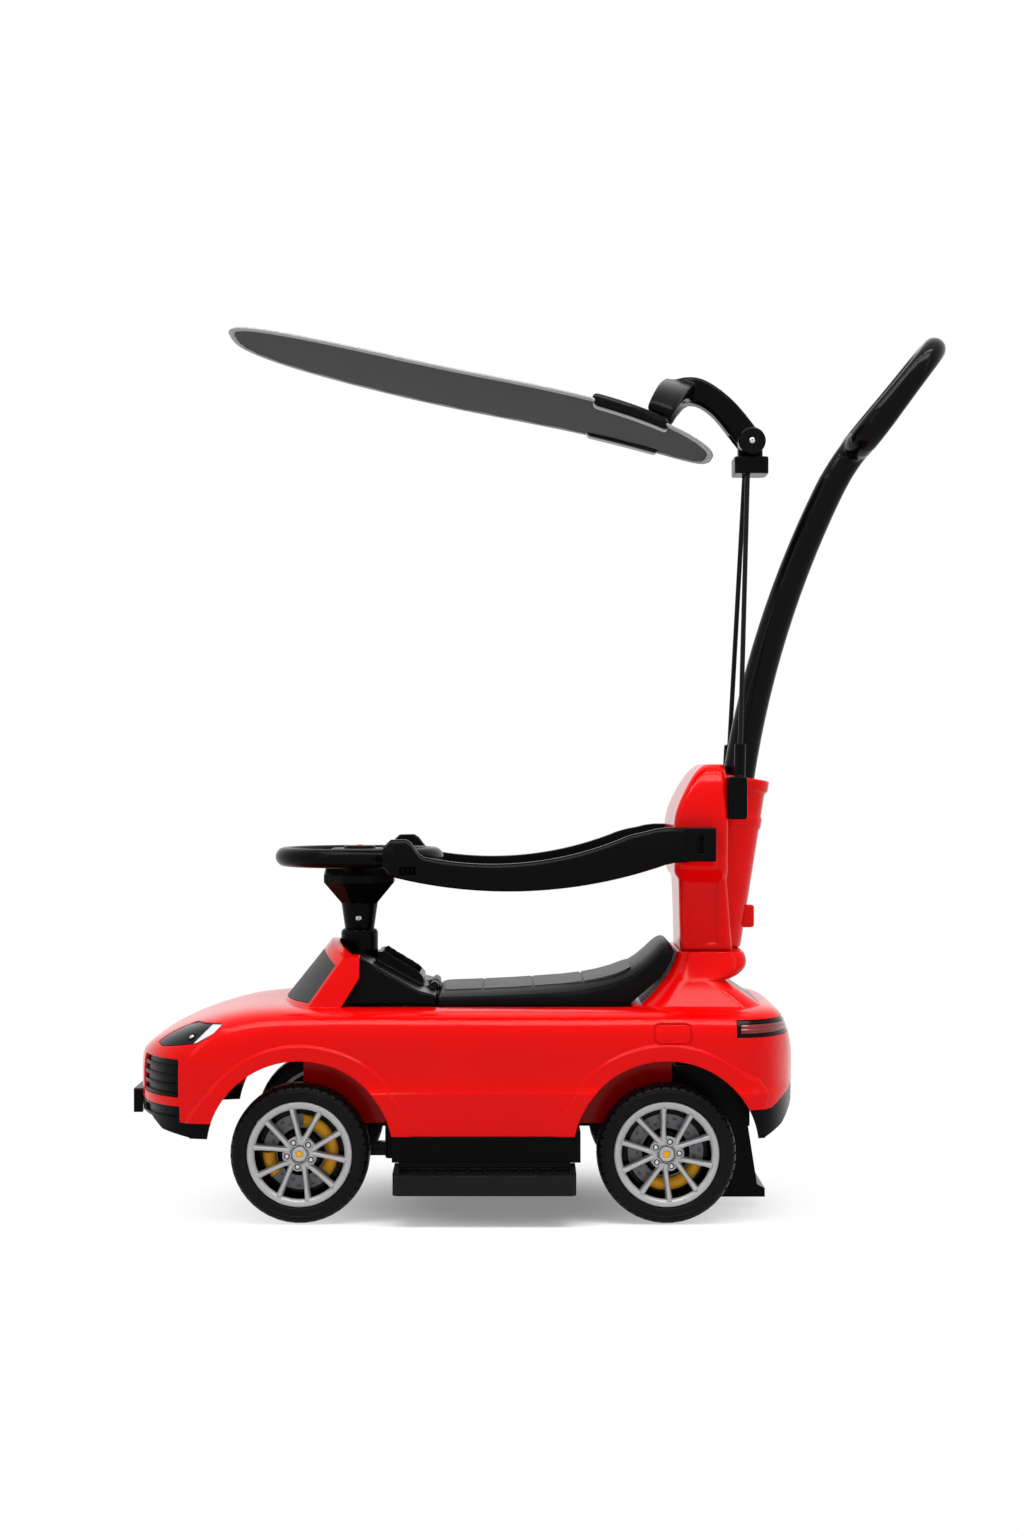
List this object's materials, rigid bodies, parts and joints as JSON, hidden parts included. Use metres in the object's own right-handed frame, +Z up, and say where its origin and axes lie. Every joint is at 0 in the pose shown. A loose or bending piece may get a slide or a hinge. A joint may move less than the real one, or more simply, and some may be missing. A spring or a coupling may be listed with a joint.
{
  "type": "push car with handle",
  "caption": "Child's ride-on push car with steerable front wheels, lift-up seat, guard arms, rear push handle and tilting sun canopy.",
  "frame": {"origin": "on the ground, below the middle of the whole toy", "axes": "+Z up, -X towards the front of the car, +Y towards the car's right-hand side"},
  "size_m": [0.853, 0.37, 0.9189],
  "materials": {
    "red_plastic": "gloss moulded",
    "black_plastic": "satin moulded",
    "steel": "plated",
    "clear_lens": "clear moulded",
    "red_lens": "gloss moulded",
    "dark_panel": "satin moulded",
    "grey_panel": "satin moulded",
    "canopy_binding": "woven tape",
    "canopy_cloth": "woven cloth",
    "tyre_plastic": "moulded tread",
    "silver_plastic": "silver coating",
    "yellow_plastic": "coloured insert"
  },
  "bodies": {
    "chassis": {"anti_tip_stand": "black_plastic", "backrest": "red_plastic", "body_shell": "red_plastic", "canopy_block": "black_plastic", "canopy_rod_left": "steel", "canopy_rod_right": "steel", "column_sleeve": "black_plastic", "dash_console": "black_plastic", "floor_pan": "black_plastic", "front_grille": "black_plastic", "front_lip": "black_plastic", "guard_arm_left": "black_plastic", "guard_arm_right": "black_plastic", "headlight_housings": "black_plastic", "headlight_lenses": "clear_lens", "kingpins": "steel", "plate_pad": "black_plastic", "push_handle": "black_plastic", "rear_axle": "steel", "rear_diffuser": "black_plastic", "rear_window": "grey_panel", "release_spring": "steel", "rod_clamps": "black_plastic", "running_board_left": "black_plastic", "running_board_right": "black_plastic", "screws": "steel", "seat_hinge_pin": "steel", "tail_light_housing": "black_plastic", "tail_light_lens": "red_lens", "windscreen": "dark_panel"},
    "steering": {"steering_wheel": "black_plastic", "steering_hub": "black_plastic", "steering_shaft": "steel", "horn_spring": "steel"},
    "horn": {"horn_button": "red_plastic"},
    "release": {"release_button": "red_plastic"},
    "seat": {"seat_lid": "black_plastic"},
    "canopy": {"canopy_knob": "black_plastic", "canopy_arm": "black_plastic", "canopy_clips": "black_plastic", "canopy_rim": "canopy_binding", "canopy_fabric": "canopy_cloth"},
    "link": {"tie_rod": "black_plastic"},
    "knuckle_left": {"knuckle_left": "black_plastic", "stub_axle_left": "steel"},
    "wheel_front_left": {"tyre_front_left": "tyre_plastic", "rim_front_left": "silver_plastic", "brake_insert_front_left": "yellow_plastic"},
    "wheel_rear_left": {"tyre_rear_left": "tyre_plastic", "rim_rear_left": "silver_plastic", "brake_insert_rear_left": "yellow_plastic"},
    "knuckle_right": {"knuckle_right": "black_plastic", "stub_axle_right": "steel"},
    "wheel_front_right": {"tyre_front_right": "tyre_plastic", "rim_front_right": "silver_plastic", "brake_insert_front_right": "yellow_plastic"},
    "wheel_rear_right": {"tyre_rear_right": "tyre_plastic", "rim_rear_right": "silver_plastic", "brake_insert_rear_right": "yellow_plastic"}
  },
  "joints": [
    {"name": "steering_turn", "type": "hinge", "parent": "chassis", "child": "steering", "pos_m": [-0.193, 0, 0.3], "axis": [0, 0, 1], "range_deg": [-20, 20]},
    {"name": "knuckle_left_turn", "type": "hinge", "parent": "chassis", "child": "knuckle_left", "pos_m": [-0.244, -0.106, 0.07], "axis": [0, 0, 1], "range_deg": [-20, 20]},
    {"name": "knuckle_right_turn", "type": "hinge", "parent": "chassis", "child": "knuckle_right", "pos_m": [-0.244, 0.106, 0.07], "axis": [0, 0, 1], "range_deg": [-20, 20]},
    {"name": "link_turn", "type": "hinge", "parent": "knuckle_left", "child": "link", "pos_m": [-0.214, -0.106, 0.05], "axis": [0, 0, 1], "range_deg": [-20, 20]},
    {"name": "wheel_front_left_spin", "type": "hinge", "parent": "knuckle_left", "child": "wheel_front_left", "pos_m": [-0.244, -0.144, 0.07], "axis": [0, 1, 0], "continuous": true},
    {"name": "wheel_front_right_spin", "type": "hinge", "parent": "knuckle_right", "child": "wheel_front_right", "pos_m": [-0.244, 0.144, 0.07], "axis": [0, 1, 0], "continuous": true},
    {"name": "wheel_rear_left_spin", "type": "hinge", "parent": "chassis", "child": "wheel_rear_left", "pos_m": [0.124, -0.144, 0.07], "axis": [0, 1, 0], "continuous": true},
    {"name": "wheel_rear_right_spin", "type": "hinge", "parent": "chassis", "child": "wheel_rear_right", "pos_m": [0.124, 0.144, 0.07], "axis": [0, 1, 0], "continuous": true},
    {"name": "seat_open", "type": "hinge", "parent": "chassis", "child": "seat", "pos_m": [-0.112, 0, 0.229], "axis": [0, -1, 0], "range_deg": [0, 70]},
    {"name": "canopy_tilt", "type": "hinge", "parent": "chassis", "child": "canopy", "pos_m": [0.222, 0, 0.802], "axis": [0, 1, 0], "range_deg": [-25, 30]},
    {"name": "horn_press", "type": "slide", "parent": "steering", "child": "horn", "axis": [0, 0, -1], "range_m": [0, 0.003], "stiffness_N_per_m": 600, "springref_m": -0.001, "deforming": ["horn_spring"]},
    {"name": "release_press", "type": "slide", "parent": "chassis", "child": "release", "axis": [-1, 0, 0], "range_m": [0, 0.004], "stiffness_N_per_m": 600, "springref_m": -0.001, "deforming": ["release_spring"]}
  ],
  "couplings": [
    {"joint": "knuckle_left_turn", "follows": "steering_turn", "ratio": 1},
    {"joint": "knuckle_right_turn", "follows": "steering_turn", "ratio": 1},
    {"joint": "link_turn", "follows": "steering_turn", "ratio": -1}
  ]
}
